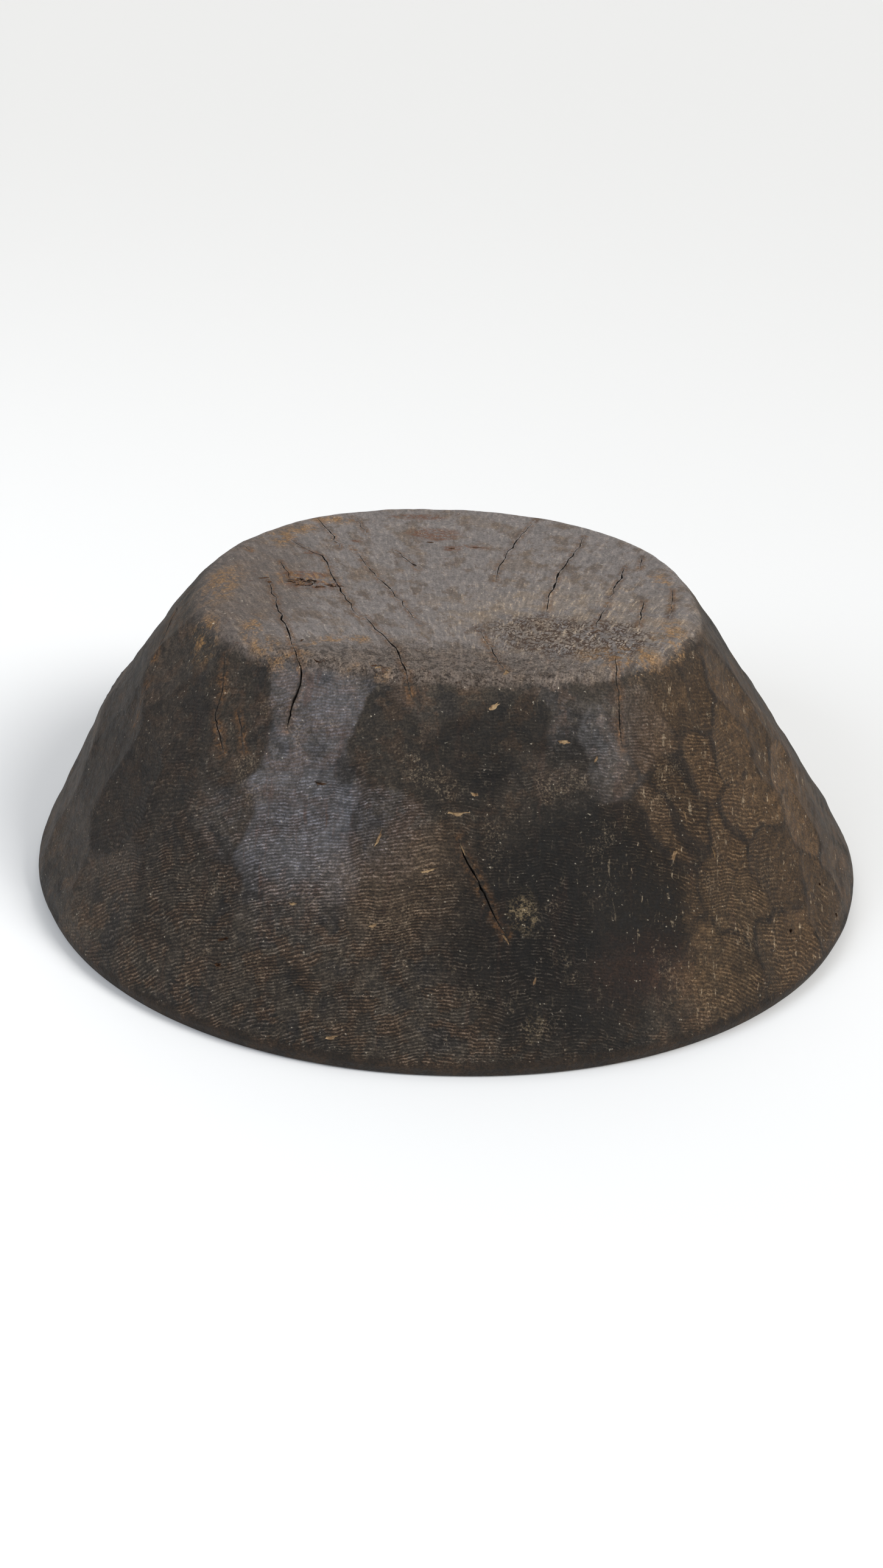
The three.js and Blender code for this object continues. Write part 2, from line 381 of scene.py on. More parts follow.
points = read_points(bowl)
round_out = np.hypot(points[:, 0], points[:, 1])
near_skin = round_out > blank_radius(points[:, 2]) - skin_depth
outside = near_skin | (points[:, 2] > shoulder_height - top_depth)
rises = rise_of(np.maximum(points[:, 2], rim_band_height))
angles = np.arctan2(points[:, 1], points[:, 0])
stretch = wall_radius(angles, rises) / (blank_rim + (blank_foot - blank_rim) * rises)
points[:, 0] *= stretch
points[:, 1] *= stretch
in_floor = ~outside & (points[:, 2] > floor_height - 1)
dish = 1 - (round_out / floor_radius) ** 2
points[:, 2] += np.where(in_floor, floor_dish * np.clip(dish, 0, 1), 0)
points[:, 2] *= 1 + foot_slope * points[:, 0] / bowl_height
write_points(bowl, points)
print("oval from", points.min(0).round(1), "to", points.max(0).round(1))

# %% [markdown]
# ## Adze marks
#
# An adze takes one shallow scoop of wood at a time. Where two scoops meet, a low ridge stays. So the
# hewn surface is the lowest of many shallow bowls, and that is how it is worked out here: each mark
# has a middle, a width, a length and a depth, and each point of the wall takes the deepest mark over
# it. A soft minimum instead of a hard one wears the ridges down, as handling has done.
#
# The marks that the front shows are listed one by one. The rest run up the wall in staggered columns.

# %% Places of the marks: plan angle in degrees, rise, width, length, depth in mm, and lightness
front_marks = [
    (242, 0.94, 44, 30, 1.9, 0.7), (243, 0.81, 42, 28, 1.7, 0.45), (245, 0.70, 44, 22, 1.5, 0.65),
    (247, 0.55, 46, 38, 2.0, 0.85), (233, 0.78, 30, 34, 1.3, -0.2), (235, 0.58, 32, 36, 1.4, 0.1),
    (226, 0.92, 34, 26, 1.5, -0.15), (216, 0.80, 36, 34, 1.6, -0.3), (206, 0.88, 40, 34, 1.6, 0.1),
    (252, 0.80, 22, 22, 0.9, 0.1), (258, 0.87, 36, 28, 1.3, -0.25), (265, 0.93, 30, 24, 1.0, 0.15),
    (272, 0.80, 36, 40, 1.6, -0.55), (282, 0.91, 34, 24, 1.3, -0.45), (262, 0.62, 42, 32, 1.5, 0.4),
    (273, 0.61, 24, 30, 1.0, -0.2), (280, 0.70, 26, 26, 1.0, 0.25), (290, 0.78, 34, 32, 1.3, -0.1),
    (291, 0.93, 26, 24, 1.0, 0.2), (299, 0.80, 26, 40, 1.2, 0.35), (221, 0.56, 20, 48, 1.3, -0.4),
    (213, 0.50, 30, 60, 2.0, -0.6), (202, 0.50, 40, 56, 1.6, -0.4), (219, 0.23, 44, 40, 1.4, 0.25),
    (205, 0.22, 46, 42, 1.3, 0.0), (234, 0.32, 46, 44, 1.3, -0.1), (233, 0.10, 48, 30, 1.2, 0.2),
    (250, 0.32, 60, 34, 1.3, 0.3), (250, 0.11, 56, 34, 1.2, 0.05), (268, 0.36, 44, 40, 1.2, -0.1),
    (268, 0.12, 50, 36, 1.2, 0.25), (284, 0.42, 46, 56, 1.4, -0.55), (286, 0.14, 48, 40, 1.2, -0.35),
    (297, 0.50, 40, 56, 1.5, -0.6), (309, 0.86, 30, 28, 1.4, 0.35), (304, 0.62, 30, 30, 1.1, 0.1),
    (314, 0.30, 26, 30, 1.3, 0.45), (306, 0.14, 34, 32, 1.4, 0.5), (317, 0.48, 22, 26, 1.0, 0.25),
    (311, 0.66, 24, 30, 1.1, -0.3), (325, 0.33, 34, 32, 1.4, -0.2), (325, 0.54, 34, 24, 1.3, 0.35),
    (329, 0.73, 32, 28, 1.3, 0.2), (326, 0.88, 34, 26, 1.2, -0.25), (318, 0.91, 22, 26, 1.0, -0.1),
    (318, 0.71, 24, 28, 1.1, 0.3), (338, 0.64, 26, 28, 1.2, -0.2), (342, 0.50, 30, 26, 1.4, 0.45),
    (347, 0.34, 32, 36, 1.3, 0.1), (337, 0.34, 26, 28, 1.2, 0.35), (331, 0.17, 30, 28, 1.2, -0.2),
    (320, 0.14, 32, 30, 1.3, 0.3), (341, 0.85, 30, 36, 1.3, 0.1), (344, 0.14, 36, 34, 1.2, 0.2),
]
front_from, front_to = 196, 350
seeded = np.random.default_rng(1871)

columns_of_marks, marks_in_column = 25, 6
back_marks = []
for column in range(columns_of_marks):
    for row in range(marks_in_column):
        turned = 360 * (column + 0.25 * (row % 2) + seeded.uniform(-0.18, 0.18)) / columns_of_marks
        rise = (row + 0.5 + seeded.uniform(-0.3, 0.3)) / marks_in_column
        width = seeded.uniform(40, 58) * (1.15 - 0.35 * rise)
        length = seeded.uniform(30, 46)
        depth = seeded.uniform(0.6, 1.3)
        lightness = seeded.uniform(-0.5, 0.5)
        if not front_from < turned % 360 < front_to:
            back_marks.append((turned, rise, width, length, depth, lightness))
print(len(front_marks), "marks placed by hand and", len(back_marks), "by rule")

# %% Hew the marks
mark_spread, cut_share = 1.35, 2.15
ridge_wear, seam_width = 0.1, 0.9
raised = 0.9
wander_seed, wander_size, wander_reach = 1871, 17, 8
fade_height = 8


def wall_point(turned, rise):
    angle = math.radians(turned)
    radius = float(wall_radius(np.array(angle), np.array(rise)))
    height = rim_band_height + (shoulder_height - rim_band_height) * rise
    across = radius * math.cos(angle)
    return np.array((across, radius * math.sin(angle), height * (1 + foot_slope * across / bowl_height)))


def scoops(places, normals, marks):
    """Depth of each mark at each place: below 0 inside the mark, above 0 outside it."""
    depths = np.empty((len(marks), len(places)))
    for number, (turned, rise, width, length, depth, _) in enumerate(marks):
        middle = wall_point(turned, rise)
        out = normals[np.argmin(((places - middle) ** 2).sum(1))]
        side = np.cross((0, 0, 1), out)
        side /= np.linalg.norm(side)
        up = np.cross(out, side)
        away = places - middle
        across = away @ side / (mark_spread * width / 2)
        along = away @ up / (mark_spread * length / 2)
        depths[number] = cut_share * depth * (across ** 2 + along ** 2 - 1)
    return depths


def wander(places, size, amount):
    """Move places about by a soft noise, so that the edges between marks wander."""
    noise.seed_set(wander_seed)
    moved = [noise.noise_vector(Vector(place / size)) for place in places]
    return places + amount * np.array(moved)


def hew(places, normals, marks):
    """Offset along the normal, lightness of the mark, and how near a ridge between marks is."""
    depths = scoops(places, normals, marks)
    shares = np.exp(-np.clip(depths, -9, 9) / ridge_wear)
    total = shares.sum(0) + 1
    offset = -ridge_wear * np.log(total)
    lightness = (shares * np.array([mark[5] for mark in marks])[:, None]).sum(0) / total
    two = np.partition(depths, 1, axis=0)[:2]
    seam = np.exp(-(((two[1] - two[0]) / seam_width) ** 2))
    return offset, lightness, seam


points = read_points(bowl)
normals = read_normals(bowl)
hewn = outside & (points[:, 2] > rim_band_height / 2)
offset = np.zeros(len(points))
lightness = np.zeros(len(points))
seam = np.zeros(len(points))
places = wander(points[hewn], wander_size, wander_reach)
offset[hewn], lightness[hewn], seam[hewn] = hew(places, normals[hewn], front_marks + back_marks)
level = np.clip((points[:, 2] - rim_band_height) / fade_height, 0, 1)
unsloped = points[:, 2] / (1 + foot_slope * points[:, 0] / bowl_height)
brow = np.clip((bowl_height - 2 - unsloped) / fade_height, 0, 1)
mean_cut = -offset[hewn].mean()
offset = (offset + mean_cut + raised) * level * brow * hewn
write_points(bowl, points + normals * offset[:, None])
print("hewn from", round(offset.min(), 2), "to", round(offset.max(), 2), "mm")

# %% [markdown]
# ## Gouge marks in the hollow
#
# The hollow can't be seen while the bowl lies on its mouth. Such a hollow is cleared with a bent
# adze or gouge and then worn smooth by use, so its marks are longer, narrower and much shallower.

# %% Scoop the hollow
hollow_columns, hollow_marks_up = 30, 4
scoop_width, scoop_narrowing, scoop_length = 34, 10, 46
hollow_marks = []
for column in range(hollow_columns):
    for row in range(hollow_marks_up):
        turned = 360 * (column + 0.5 * (row % 2) + seeded.uniform(-0.15, 0.15)) / hollow_columns
        rise = (row + 0.4 + seeded.uniform(-0.2, 0.2)) / hollow_marks_up
        width = scoop_width - scoop_narrowing * rise
        hollow_marks.append((turned, rise, width, scoop_length, seeded.uniform(0.5, 0.9), 0))

points = read_points(bowl)
normals = read_normals(bowl)
inside = ~outside & (points[:, 2] > 4)
in_wall = points[inside] - normals[inside] * mouth_wall
offset, _, _ = hew(in_wall, -normals[inside], hollow_marks)
flatten = np.clip((floor_height - 4 - points[inside, 2]) / 30, 0.15, 1)
points[inside] += normals[inside] * (offset * flatten)[:, None]
write_points(bowl, points)
print("hollow scooped by up to", round(-offset.min(), 2), "mm")

# %% [markdown]
# ## Nothing hewn is even
#
# Two Displace modifiers with soft cloud noise finish the form: slow waves of about a millimetre over
# everything, and a fine unevenness that is only on the outside. Modifiers act through vertex groups,
# so the rim stays level where the bowl stands on it.

# %% Waves and fine unevenness
def cloud(name, size):
    texture = bpy.data.textures.new(name, "CLOUDS")
    texture.noise_scale = size * mm
    texture.noise_depth = 2
    return texture


def add_group(name, shares):
    group = bowl.vertex_groups.new(name=name)
    for number in np.flatnonzero(shares > 0):
        group.add([int(number)], float(shares[number]), "REPLACE")
    return group


points = read_points(bowl)
off_ground = np.clip(points[:, 2] / 12, 0, 1)
add_group("off_ground", off_ground)
add_group("outside", off_ground * outside)
apply_modifier(bowl, "DISPLACE", texture=cloud("slow_waves", 55), strength=2.6 * mm, mid_level=0.5,
               vertex_group="off_ground")
apply_modifier(bowl, "DISPLACE", texture=cloud("fine_unevenness", 7), strength=0.5 * mm, mid_level=0.5,
               vertex_group="outside")
print("after waves, height is", round(read_points(bowl)[:, 2].max(), 1), "mm")

# %% [markdown]
# ## Remember the hewing for the finish
#
# Dirt gathers along some of the ridges. Each mark has a lightness, partly its own tone and partly
# painted light and shade: a facet is lighter or darker as if turned to or from the light, and the
# worn marks at the front left carry a painted reflection. The lightness and the seams that were
# worked out with the marks go into the mesh as attributes, which the material reads.
# The drying checks will add a third, called split, for the brown wood along their edges.

# %% Store lightness and seams
def store(piece, name, values):
    attribute = piece.data.attributes.new(name, "FLOAT", "POINT")
    attribute.data.foreach_set("value", values.astype(np.float32))


store(bowl, "lightness", lightness)
store(bowl, "seam", seam)
print("attributes:", [attribute.name for attribute in bowl.data.attributes])

# %% [markdown]
# ## Drying checks
#
# Wood splits along its rays as it dries, and on this foot the splits fan out from the front. A check
# is a narrow wedge: open at the surface, closed at its bottom, and running out at both ends. Painted
# lines would look flat from the side, so each check is really cut. Its cutter is a strip that stands
# in the wood along the split. Solidify gives the strip its thickness, from a vertex group that is
# full at the top and zero at the bottom, and a Boolean takes the wedge out.

# %% Paths of the checks, in plan, with the width and depth of each in mm
checks = [
    ([(-73, 93), (-65, 72), (-61, 58), (-57, 45)], 0.9, 4),
    ([(-85, 58), (-76, 45), (-67, 34), (-62, 25), (-59, 8),
      (-55, -8), (-50, -22), (-45, -40), (-41, -50)], 1.2, 7),
    ([(-40, -46), (-35, -60), (-27, -77), (-22, -98), (-19, -107), (-17, -113)], 1.2, 6),
    ([(-87, -7), (-84, -20), (-80, -38), (-76, -52), (-73, -66), (-68, -84), (-65, -95)], 1.0, 6),
    ([(-67, -88), (-64, -97), (-64, -101), (-67, -107), (-68, -113)], 1.4, 8),
    ([(-52, 48), (-46, 32), (-40, 14), (-33, -2), (-27, -18), (-21, -35), (-15, -53)], 0.8, 4),
    ([(42, 106), (36, 86), (30, 65), (25, 47), (21, 28), (19, 10)], 0.9, 5),
    ([(66, 82), (61, 62), (56, 46), (51, 28), (47, 10), (44, -8), (42, -22), (41, -38)], 1.2, 7),
    ([(83, 38), (79, 18), (75, 3), (72, -8)], 1.0, 5),
    ([(71, -14), (66, -30), (62, -50)], 0.7, 3),
    ([(93, 54), (90, 36)], 0.9, 3),
    ([(88, -8), (85, -26), (82, -43)], 0.7, 3),
    ([(103, 8), (101, -8), (97, -30)], 0.6, 3),
    ([(10, -53), (14, -68), (18, -88), (22, -100)], 0.6, 4),
    ([(69, -78), (68, -93), (70, -104), (71, -112)], 0.8, 4),
    ([(-54, 97), (-45, 68)], 0.6, 3),
    ([(-31, 48), (-24, 34), (-18, 20)], 0.6, 3),
    ([(-105, 44), (-100, 35)], 0.9, 3),
    ([(-84, 22), (-80, 9), (-77, -2)], 0.9, 4),
    ([(-98, -77), (-98, -88), (-100, -95), (-99, -102), (-95, -111)], 0.8, 5),
    ([(-129, 0), (-132, -22), (-135, -42)], 0.9, 4),
    ([(-136, -52), (-141, -66)], 0.7, 3),
    ([(4, -149), (8, -156), (13, -163), (19, -168), (24, -172)], 1.2, 5),
    ([(-90, -100), (-88, -108), (-86, -114)], 0.5, 3),
]
check_step = 1.8
check_lift = 2.5
check_wander = 0.5
check_halo = 1.8

# Opening at the ends, what the middle adds, and how quickly a check opens from its end
end_opening, middle_opening, opening_power = 0.12, 0.88, 0.6
ragged_gap, sway_gap = 1.5, 3


def surface_at(across, along):
    """The place and the outward direction of the wood under a point of the plan."""
    hit, place, normal, _ = bowl.ray_cast(Vector((across * mm, along * mm, 0.3)), Vector((0, 0, -1)))
    return np.array(place) / mm, np.array(normal)


check_lines = []


def even_steps(path, step):
    """Points along a path at even steps, with the share of the way that each has come."""
    corners = np.array(path, float)
    lengths = np.hypot(*np.diff(corners, axis=0).T)
    travelled = np.concatenate(([0], np.cumsum(lengths)))
    wanted = np.linspace(0, travelled[-1], max(4, round(travelled[-1] / step)))
    line = np.stack([np.interp(wanted, travelled, corners[:, axis]) for axis in (0, 1)], axis=1)
    return line, wanted / travelled[-1]


def uneven(at, gap, draw):
    """Random values drawn at every so many steps, and read between them."""
    values = draw(int(at[-1] / gap) + 2)
    return np.interp(at, gap * np.arange(len(values)), values)


def check_cutter(number, path, width, depth):
    line, share = even_steps(path, check_step)
    steps = len(line) - 1
    opening = end_opening + middle_opening * np.sin(np.pi * share) ** opening_power
    ragged = uneven(share * steps, ragged_gap, lambda count: seeded.uniform(0.15, 1.0, count))
    sway = uneven(share * steps, sway_gap, lambda count: seeded.normal(0, check_wander, count))
    sway *= np.sin(np.pi * share) ** 0.5
    deselect_all()
    bpy.ops.mesh.primitive_grid_add(x_subdivisions=steps, y_subdivisions=1, size=1)
    cutter = bpy.context.object
    cutter.name = f"check_cutter_{number}"
    corners = read_points(cutter) * mm
    top = cutter.vertex_groups.new(name="open")
    for corner, (x, y, _) in enumerate(corners):
        step = round((x + 0.5) * steps)
        ahead = line[min(step + 1, steps)] - line[max(step - 1, 0)]
        aside = np.array((-ahead[1], ahead[0])) / np.hypot(*ahead)
        place, normal = surface_at(*(line[step] + aside * sway[step]))
        upper = y > 0
        height = check_lift if upper else -depth * opening[step]
        corners[corner] = (place + normal * height) * mm
        if upper:
            check_lines.append(place)
            top.add([corner], float(min(1, opening[step] * ragged[step])), "REPLACE")
    cutter.data.vertices.foreach_set("co", corners.ravel())
    flare = 1 + check_lift / depth
    apply_modifier(cutter, "SOLIDIFY", thickness=width * flare * mm, offset=0, vertex_group="open",
                   thickness_vertex_group=0.0)
    edit(cutter)
    bpy.ops.mesh.select_all(action="SELECT")
    bpy.ops.mesh.remove_doubles(threshold=0.02 * mm)
    bpy.ops.mesh.normals_make_consistent(inside=False)
    leave_edit()
    return cutter


check_cutters = [check_cutter(number, *check) for number, check in enumerate(checks)]
points = read_points(bowl)
nearest = np.full(len(points), 99.0)
for place in check_lines:
    nearest = np.minimum(nearest, ((points - place) ** 2).sum(1))
store(bowl, "split", np.exp(-nearest / check_halo ** 2))
print(len(check_cutters), "check cutters,", sum(len(c.data.polygons) for c in check_cutters), "faces")

# %% [markdown]
# ## Chips, torn wood and worm holes
#
# Fresh chips show pale wood. Each is a thin sliver taken out along the grain, so its cutter is a
# sphere pressed nearly flat, turned on the surface and roughened. The torn places on the foot and
# two small worm holes are cut the same way, deeper. Each cutter brings its own finish with it,
# because the Boolean gives the new faces the cutter's material.

# %% Chips: place in plan, length, width, turn in degrees from the level, depth and bend in mm
chips = [
    (3, -143, 9.5, 1.7, 4, 0.5, 1.5), (46, -119, 7, 1.5, -5, 0.5, 0.4), (17, -115, 5, 2.0, 25, 0.5, 0.3),
    (10, -137, 3, 1.6, 0, 0.5, 0.3), (-28, -148, 8, 1.0, 72, 0.4, 0.3), (-8, -159, 6.5, 1.2, 20, 0.4, 0.4),
    (94, -133, 7, 1.7, 50, 0.6, -0.5), (22, -101, 6, 2.2, 80, 0.8, 0.3), (112, -124, 5, 1.0, 80, 0.5, 0.2),
    (-29, -171, 3.5, 1.3, 30, 0.4, 0.2), (-44, -195, 5, 1.4, 20, 0.5, 0.3), (99, -118, 7, 0.7, 75, 0.3, 0.2),
    (-62, -160, 4, 1.1, 10, 0.4, 0.3), (60, -119, 3, 1.2, 40, 0.3, 0.2), (36, -181, 3, 1.1, 60, 0.4, 0.2),
    (6, -152, 5, 0.8, 115, 0.4, 0.2), (24, -173, 5, 0.8, 120, 0.4, 0.2), (-31, -103, 3, 1.1, 30, 0.4, 0.2),
]
dark_pits = [
    (-13, 61, 5, 2.4, -10, 2.2, 0), (-86, -9, 3, 2.4, 60, 2.0, 0), (-2, 53, 4, 2.4, 20, 1.4, 0),
    (-90, -162, 6, 1.4, 35, 1.4, 0), (-92, -168, 3, 1.6, 5, 1.4, 0), (-53, -131, 5, 1.1, 4, 0.8, 0.3),
    (177, -90, 2.2, 2.2, 0, 5.0, 0), (169, -84, 1.6, 1.6, 0, 4.0, 0), (150, -120, 2.0, 2.0, 0, 4.0, 0),
    (-150, 96, 1.8, 1.8, 0, 4.0, 0), (60, 168, 2.0, 2.0, 0, 4.0, 0), (122, 118, 1.8, 1.8, 0, 4.0, 0),
    (-65, -78, 2.6, 1.2, 70, 1.0, 0), (-57, -97, 4, 0.9, -15, 0.8, 0.6), (-33, -102, 3.4, 1.2, 10, 0.9, 0),
    (-20, 26, 5, 1.4, 118, 0.9, 0), (10, 57, 7, 1.4, 3, 0.7, 0), (-27, 42, 4, 0.8, 118, 0.7, 0),
]
rough_least, rough_most = -0.45, 0.3
torn_middle, torn_spread, torn_count = (-68, -6), (6.0, 2.6), 18
for _ in range(torn_count):
    across, along = seeded.normal(torn_middle, torn_spread)
    size = (seeded.uniform(4, 9), seeded.uniform(1.8, 3.8))
    dark_pits.append((across, along, *size, seeded.normal(8, 22), seeded.uniform(0.8, 2.6), 0))


def pit_cutter(name, across, along, length, width, turn, depth, bend):
    place, normal = surface_at(across, along)
    deselect_all()
    bpy.ops.mesh.primitive_uv_sphere_add(segments=16, ring_count=8, radius=1)
    cutter = bpy.context.object
    cutter.name = name
    out = Vector(normal)
    side = Vector((0, 0, 1)).cross(out)
    side = side.normalized() if side.length > 0.2 else Vector((1, 0, 0))
    side = Matrix.Rotation(math.radians(turn), 3, out) @ side
    up = out.cross(side)
    for vertex in cutter.data.vertices:
        rough = 1 + seeded.uniform(rough_least, rough_most)
        ahead = vertex.co.x * rough * length / 2
        aside = vertex.co.y * rough * width / 2 + bend * vertex.co.x ** 2
        vertex.co = (Vector(place) + side * ahead + up * aside + out * vertex.co.z * rough * depth) * mm
    return cutter


chip_cutters = [pit_cutter(f"chip_cutter_{number}", *chip) for number, chip in enumerate(chips)]
pit_cutters = [pit_cutter(f"pit_cutter_{number}", *pit) for number, pit in enumerate(dark_pits)]
print(len(chip_cutters), "chips and", len(pit_cutters), "pits and holes")

# %% [markdown]
# ## Materials as expressions
#
# A procedural finish is a small calculation for each point of the surface. Written with nodes by
# hand it soon becomes a web, so one small class wraps a socket and lets plain Python signs add the
# Math nodes. One method adds every other node.

# %% A socket that can be calculated with
class Value:
    """One output socket. Signs between values, or a value and a number, add Math nodes."""

    def __init__(self, finish, socket):
        self.finish = finish
        self.socket = socket

    def maths(self, operation, first, second):
        return self.finish.add("ShaderNodeMath", {"operation": operation}, {0: first, 1: second})

    def __add__(self, other):
        return self.maths("ADD", self, other)

    def __radd__(self, other):
        return self.maths("ADD", other, self)

    def __sub__(self, other):
        return self.maths("SUBTRACT", self, other)

    def __rsub__(self, other):
        return self.maths("SUBTRACT", other, self)

    def __mul__(self, other):
        return self.maths("MULTIPLY", self, other)

    def __rmul__(self, other):
        return self.maths("MULTIPLY", other, self)

    def __truediv__(self, other):
        return self.maths("DIVIDE", self, other)

    def __rtruediv__(self, other):
        return self.maths("DIVIDE", other, self)

    def sine(self):
        return self.maths("SINE", self, 0)

    def size(self):
        return self.maths("ABSOLUTE", self, 0)

    def remainder(self):
        return self.maths("FRACT", self, 0)

    def at_most(self, other):
        return self.maths("MINIMUM", self, other)

    def at_least(self, other):
        return self.maths("MAXIMUM", self, other)

    def between(self, low, high):
        """0 below low and 1 above high, with a smooth way between. Low may be above high."""
        settings = {"interpolation_type": "SMOOTHSTEP"}
        return self.finish.add("ShaderNodeMapRange", settings, {0: self, 1: low, 2: high, 3: 0, 4: 1})


# %% A material whose nodes are added by name
class Finish:
    """A material's nodes."""

    def __init__(self, name):
        self.material = bpy.data.materials.new(name)
        self.material.use_nodes = True
        self.tree = self.material.node_tree
        self.tree.nodes.clear()

    def add(self, kind, settings=None, sockets=None, out=0):
        """Add a node: its settings first, then its sockets' values or links."""
        node = self.tree.nodes.new(kind)
        for name, value in (settings or {}).items():
            setattr(node, name, value)
        for name, value in (sockets or {}).items():
            if isinstance(value, Value):
                self.tree.links.new(value.socket, node.inputs[name])
            else:
                node.inputs[name].default_value = value
        return Value(self, node.outputs[out]) if len(node.outputs) else node

    def vector(self, operation, first, second=(0, 0, 0), out=0):
        return self.add("ShaderNodeVectorMath", {"operation": operation}, {0: first, 1: second}, out)

    def parts(self, vector):
        node = self.tree.nodes.new("ShaderNodeSeparateXYZ")
        self.tree.links.new(vector.socket, node.inputs[0])
        return [Value(self, socket) for socket in node.outputs]

    def join(self, x, y, z):
        return self.add("ShaderNodeCombineXYZ", None, {0: x, 1: y, 2: z})

    def attribute(self, name):
        """A number that was stored in the mesh."""
        return self.add("ShaderNodeAttribute", {"attribute_name": name}, None, 2)

    def noise(self, place, size, detail=2.0, roughness=0.55, out=0):
        """Noise from about 0 to 1 whose lumps are about this many millimetres."""
        sockets = {"Vector": place, "Scale": 1 / size, "Detail": detail, "Roughness": roughness}
        return self.add("ShaderNodeTexNoise", None, sockets, out)

    def even_noise(self, place, size, detail, roughness):
        """The same noise, spread so that it reaches 0 and 1."""
        return self.noise(place, size, detail, roughness).between(0.3, 0.7)

    def mix(self, share, first, second, blend="MIX"):
        settings = {"data_type": "RGBA", "blend_type": blend, "clamp_factor": True}
        return self.add("ShaderNodeMix", settings, {0: share, 6: first, 7: second}, 2)

    def tint(self, under, share, colour):
        """Lay a colour over another, by a share from 0 to 1."""
        return self.mix(share, under, colour)

    def dim(self, under, amount):
        """Make a colour darker below 1, and lighter above 1."""
        return self.mix(1.0, under, self.join(amount, amount, amount), "MULTIPLY")

    def relief(self, height):
        """A bump whose height is in millimetres."""
        return self.add("ShaderNodeBump", None, {"Strength": 1.0, "Distance": mm, "Height": height})

    def surface(self, sockets):
        """Add the shader and the output, which end the material."""
        shader = self.add("ShaderNodeBsdfPrincipled", None, sockets)
        self.add("ShaderNodeOutputMaterial", None, {"Surface": shader})
        return self.material


def shade(red, green, blue):
    """A colour as a paint program gives it, from 0 to 255, in Blender's linear numbers."""
    def linear(part):
        part /= 255
        return part / 12.92 if part <= 0.04045 else ((part + 0.055) / 1.055) ** 2.4
    return (linear(red), linear(green), linear(blue), 1)


print("colour 128 grey is", round(shade(128, 128, 128)[0], 3), "in linear numbers")

# %% [markdown]
# ## How the log grew
#
# The rings of the log are circles round its heart, and the log lay from the front of the bowl to its
# back. The bowl was cut from the outer wood, so the heart is below the mouth. The front and back show
# end grain: fine rings, raised by wear to ridges, and rays that cross them. The two long sides show
# long streaks. Everything is stretched along the log, which one vector does: the place in millimetres
# with its Y shortened. It is a solid pattern, so each adze mark shows the rings as its own curves.

# %% Grain of the log
heart_across, heart_depth = 12, 215
log_stretch = (1, 0.13, 1)
ray_stretch = (1, 0.13, 0.14)
ring_gap, ray_gap = 1.1, 3.4
slow_bend, ripple_bend, ray_jog = 8, 0.35, 0.26


class Grain:
    """Places and patterns of the wood that every finish of the bowl shares."""

    def __init__(self, finish):
        self.finish = finish
        place = finish.add("ShaderNodeTexCoord", None, None, 3)
        self.place = finish.vector("MULTIPLY", place, (1 / mm, 1 / mm, 1 / mm))
        self.x, self.y, self.z = finish.parts(self.place)
        self.log = finish.vector("MULTIPLY", self.place, log_stretch)
        wide = finish.noise(self.place, 38, 3, 0.6, out=1)
        small = finish.noise(self.place, 6, 3, 0.65, out=1)
        self.fibrous = self.pushed(self.place, small, 3)
        self.ragged = self.pushed(self.place, small, 9)
        self.bent = self.pushed(self.ragged, wide, 26)

    def pushed(self, place, noise, amount):
        """The place moved about by a colour noise, up to half the amount each way."""
        centred = self.finish.vector("SUBTRACT", noise, (0.5, 0.5, 0.5))
        moved = self.finish.vector("MULTIPLY", centred, (amount, amount, amount))
        return self.finish.vector("ADD", place, moved)

    def spot(self, middle, size, soft=0.35, place=None):
        """A small patch with a ragged edge: 1 inside, 0 outside. Sizes are half-lengths."""
        away = self.finish.vector("SUBTRACT", place or self.ragged, middle)
        scaled = self.finish.vector("DIVIDE", away, size)
        far = self.finish.vector("LENGTH", scaled, out=1)
        return far.between(1 + soft, 1 - soft)

    def spots(self, places, soft=0.35):
        """Several small patches in one mask."""
        found = self.spot(*places[0], soft)
        for middle, size in places[1:]:
            found = found.at_least(self.spot(middle, size, soft))
        return found

    def patch(self, middle, size, soft=0.35):
        """A large patch with a wandering and ragged edge."""
        return self.spot(middle, size, soft, self.bent)

    def rays(self):
        """Places along the rays, which run up through the rings."""
        return self.finish.vector("MULTIPLY", self.fibrous, ray_stretch)

    def rings(self):
        """Ring number at each point: it grows by 1 from ring to ring, and jogs at the rays."""
        from_heart = self.finish.join(self.x - heart_across, 0, self.z + heart_depth)
        radius = self.finish.vector("LENGTH", from_heart, out=1)
        slow = self.finish.noise(self.log, 30, 2)
        ripple = self.finish.noise(self.log, 7, 2)
        cell = {"Vector": self.rays(), "Scale": 1 / ray_gap}
        column = self.finish.add("ShaderNodeTexVoronoi", {"feature": "F1"}, cell, 1)
        jog = self.finish.parts(column)[0]
        return (radius + slow * slow_bend + ripple * ripple_bend) / ring_gap + jog * ray_jog
